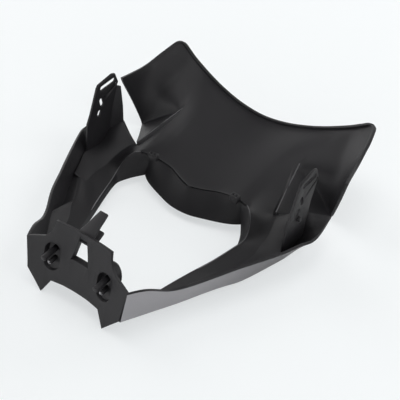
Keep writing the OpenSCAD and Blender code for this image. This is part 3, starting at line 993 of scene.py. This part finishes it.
class COWL_OT_clips(bpy.types.Operator):
    """The two slotted clips on top of the brow wall"""

    bl_idname = "cowl.clips"
    bl_label = "Brow clips"

    def execute(self, context):
        bm = bmesh.new()
        for side in (-1, 1):
            x, y, z = CLIP_PLACE
            width, length, height = CLIP_SIZE
            place = Matrix.Translation((side * x, y, z)) @ Matrix.Rotation(-side * CLIP_TURN, 4, "Z")
            place @= Matrix.Diagonal((width / 2, length / 2, 1, 1))
            made = bmesh.ops.create_grid(bm, x_segments=5, y_segments=3, size=1, matrix=place)["verts"]
            own = set(made)
            top = [face for face in bm.faces if own.issuperset(face.verts)]
            slots = self.slots_of(top)
            rim = [edge for face in top for edge in face.edges if edge.is_boundary]
            low = bmesh.ops.extrude_edge_only(bm, edges=rim)["geom"]
            low = [item for item in low if isinstance(item, bmesh.types.BMVert)]
            bmesh.ops.translate(bm, verts=low, vec=(0, 0, -height))
            sunk = bmesh.ops.extrude_discrete_faces(bm, faces=slots)["faces"]
            bottoms = list({vert for face in sunk for vert in face.verts})
            bmesh.ops.translate(bm, verts=bottoms, vec=(0, 0, -CLIP_SLOT))
        bmesh.ops.recalc_face_normals(bm, faces=bm.faces)
        add_piece(bm, "brow_clips")
        return {"FINISHED"}

    def slots_of(self, top):
        """The second and the fourth face of the middle one of a top's three rows of five."""
        across = sorted(top, key=lambda face: face.calc_center_median().x)
        rows = sorted(face.calc_center_median().y for face in top)
        slots = across[3:6] + across[9:12]
        return [face for face in slots if rows[4] < face.calc_center_median().y < rows[10]]


class COWL_OT_stage(bpy.types.Operator):
    """Pale floor, soft lamps and the camera"""

    bl_idname = "cowl.stage"
    bl_label = "Stage"

    def execute(self, context):
        settings = stage()
        self.make_floor(settings)
        self.make_sky(settings)
        for name, direction, share in LAMPS:
            self.make_lamp(name, direction, settings.lamp_power * share)
        self.make_camera(settings)
        context.scene.view_settings.view_transform = "Standard"
        return {"FINISHED"}

    def make_floor(self, settings):
        """Wide pale floor, in the plane on which the cowl lies."""
        bm = bmesh.new()
        bmesh.ops.create_grid(bm, x_segments=1, y_segments=1, size=FLOOR_HALF)
        mesh = bpy.data.meshes.new("floor")
        bm.to_mesh(mesh)
        bm.free()
        mesh.materials.append(self.floor_material(settings))
        new_object("floor", mesh)

    def floor_material(self, settings):
        """Pale floor that turns into the backdrop with distance, for the camera only."""
        material = bpy.data.materials.new("pale floor")
        material.use_nodes = True
        nodes, links = material.node_tree.nodes, material.node_tree.links
        shader = nodes["Principled BSDF"]
        shader.inputs["Base Color"].default_value = (*settings.floor_colour, 1)
        shader.inputs["Roughness"].default_value = FLOOR_ROUGHNESS
        shader.inputs["Specular IOR Level"].default_value = FLOOR_SHEEN
        backdrop = new_node(nodes, "ShaderNodeEmission", {"Color": (*settings.backdrop_colour, 1)})
        place = nodes.new("ShaderNodeTexCoord")
        away = new_node(nodes, "ShaderNodeVectorMath", operation="LENGTH")
        links.new(place.outputs["Object"], away.inputs[0])
        ends = {"From Min": FLOOR_NEAR, "From Max": FLOOR_FAR, "To Min": settings.seen_share}
        far = new_node(nodes, "ShaderNodeMapRange", ends, interpolation_type="SMOOTHSTEP")
        links.new(away.outputs["Value"], far.inputs["Value"])
        path = nodes.new("ShaderNodeLightPath")
        seen = new_node(nodes, "ShaderNodeMath", operation="MULTIPLY")
        links.new(path.outputs["Is Camera Ray"], seen.inputs[0])
        links.new(far.outputs["Result"], seen.inputs[1])
        mix = nodes.new("ShaderNodeMixShader")
        links.new(seen.outputs[0], mix.inputs[0])
        links.new(shader.outputs[0], mix.inputs[1])
        links.new(backdrop.outputs[0], mix.inputs[2])
        links.new(mix.outputs[0], nodes["Material Output"].inputs["Surface"])
        return material

    def make_sky(self, settings):
        """White light low over the horizon, and for the camera the plain backdrop."""
        world = bpy.data.worlds.new("sky")
        world.use_nodes = True
        nodes, links = world.node_tree.nodes, world.node_tree.links
        background = nodes["Background"]
        background.inputs["Color"].default_value = (1, 1, 1, 1)
        strength = self.horizon_light(nodes, links, settings)
        links.new(strength.outputs[0], background.inputs["Strength"])
        seen = new_node(nodes, "ShaderNodeBackground", {"Color": (*settings.backdrop_colour, 1)})
        path = nodes.new("ShaderNodeLightPath")
        mix = nodes.new("ShaderNodeMixShader")
        links.new(path.outputs["Is Camera Ray"], mix.inputs[0])
        links.new(background.outputs[0], mix.inputs[1])
        links.new(seen.outputs[0], mix.inputs[2])
        links.new(mix.outputs[0], nodes["World Output"].inputs["Surface"])
        bpy.context.scene.world = world

    def horizon_light(self, nodes, links, settings):
        """Node for the strength of the sky: it fades upwards, and each side has its own share."""
        place = nodes.new("ShaderNodeTexCoord")
        split = nodes.new("ShaderNodeSeparateXYZ")
        links.new(place.outputs["Generated"], split.inputs[0])
        total = None
        for axis, sign, share in HORIZON_SHARES:
            side = new_node(nodes, "ShaderNodeMath", {1: sign}, operation="MULTIPLY", use_clamp=True)
            links.new(split.outputs[axis], side.inputs[0])
            part = new_node(nodes, "ShaderNodeMath", {1: share, 2: 0}, operation="MULTIPLY_ADD")
            links.new(side.outputs[0], part.inputs[0])
            if total:
                links.new(total.outputs[0], part.inputs[2])
            total = part
        ends = {"From Max": settings.horizon_height, "To Min": settings.horizon_strength, "To Max": 0}
        fade = new_node(nodes, "ShaderNodeMapRange", ends, interpolation_type="SMOOTHSTEP")
        links.new(split.outputs["Z"], fade.inputs["Value"])
        strength = new_node(nodes, "ShaderNodeMath", operation="MULTIPLY")
        links.new(total.outputs[0], strength.inputs[0])
        links.new(fade.outputs["Result"], strength.inputs[1])
        return strength

    def make_lamp(self, name, direction, power):
        """Round soft lamp that faces the cowl from a given direction."""
        way = Vector(direction).normalized()
        lamp = bpy.data.lights.new(name, "AREA")
        lamp.shape = "DISK"
        lamp.size = LAMP_SIZE
        lamp.energy = power
        holder = new_object(name, lamp)
        holder.location = way * LAMP_DISTANCE + Vector(LAMP_AIM)
        holder.rotation_euler = (-way).to_track_quat("-Z", "Y").to_euler()

    def make_camera(self, settings):
        """Camera where the photograph was taken."""
        turn = math.radians(CAMERA_TURN)
        rise = math.radians(CAMERA_RISE)
        back = Vector((math.sin(turn) * math.cos(rise), -math.cos(turn) * math.cos(rise), math.sin(rise)))
        right = Vector((math.cos(turn), math.sin(turn), 0))
        up = back.cross(right)
        facing = Matrix((right, up, back)).transposed().to_4x4()
        eye = Vector(CAMERA_PLACE)
        data = bpy.data.cameras.new("camera")
        data.lens = settings.lens
        data.sensor_width = CAMERA_SENSOR
        data.clip_start = CAMERA_NEAR
        camera = new_object("camera", data)
        camera.matrix_world = Matrix.Translation(TO_ROW @ eye) @ Matrix.Rotation(REST_TILT, 4, "X") @ facing
        bpy.context.scene.camera = camera


STEPS = (
    COWL_OT_stage, COWL_OT_shell, COWL_OT_shelves, COWL_OT_chin, COWL_OT_pins, COWL_OT_prong, COWL_OT_ribs,
    COWL_OT_tabs, COWL_OT_clips,
)


class COWL_PT_panel(bpy.types.Panel):
    """Sidebar panel with the sizes, the finish and the steps"""

    bl_idname = "COWL_PT_panel"
    bl_label = "Headlight cowl"
    bl_space_type = "VIEW_3D"
    bl_region_type = "UI"
    bl_category = "Cowl"

    def draw(self, context):
        layout = self.layout
        for group in (cowl(), finish(), stage()):
            box = layout.box()
            for name in group.__annotations__:
                box.prop(group, name)
        for step in STEPS:
            layout.operator(step.bl_idname)


GROUPS = (CowlSizes, CowlFinish, CowlStage)


def register():
    """Makes the settings, the steps and the panel known to Blender."""
    for kind in (*GROUPS, *STEPS, COWL_PT_panel):
        bpy.utils.register_class(kind)
    bpy.types.Scene.cowl_sizes = PointerProperty(type=CowlSizes)
    bpy.types.Scene.cowl_finish = PointerProperty(type=CowlFinish)
    bpy.types.Scene.cowl_stage = PointerProperty(type=CowlStage)


def unregister():
    """Takes all of it out again."""
    del bpy.types.Scene.cowl_stage
    del bpy.types.Scene.cowl_finish
    del bpy.types.Scene.cowl_sizes
    for kind in reversed((*GROUPS, *STEPS, COWL_PT_panel)):
        bpy.utils.unregister_class(kind)


def main():
    """Builds the cowl and its stage."""
    register()
    bpy.ops.cowl.stage()
    bpy.ops.cowl.shell()
    bpy.ops.cowl.shelves()
    bpy.ops.cowl.chin()
    bpy.ops.cowl.pins()
    bpy.ops.cowl.prong()
    bpy.ops.cowl.ribs()
    bpy.ops.cowl.tabs()
    bpy.ops.cowl.clips()


if __name__ == "__main__":
    main()
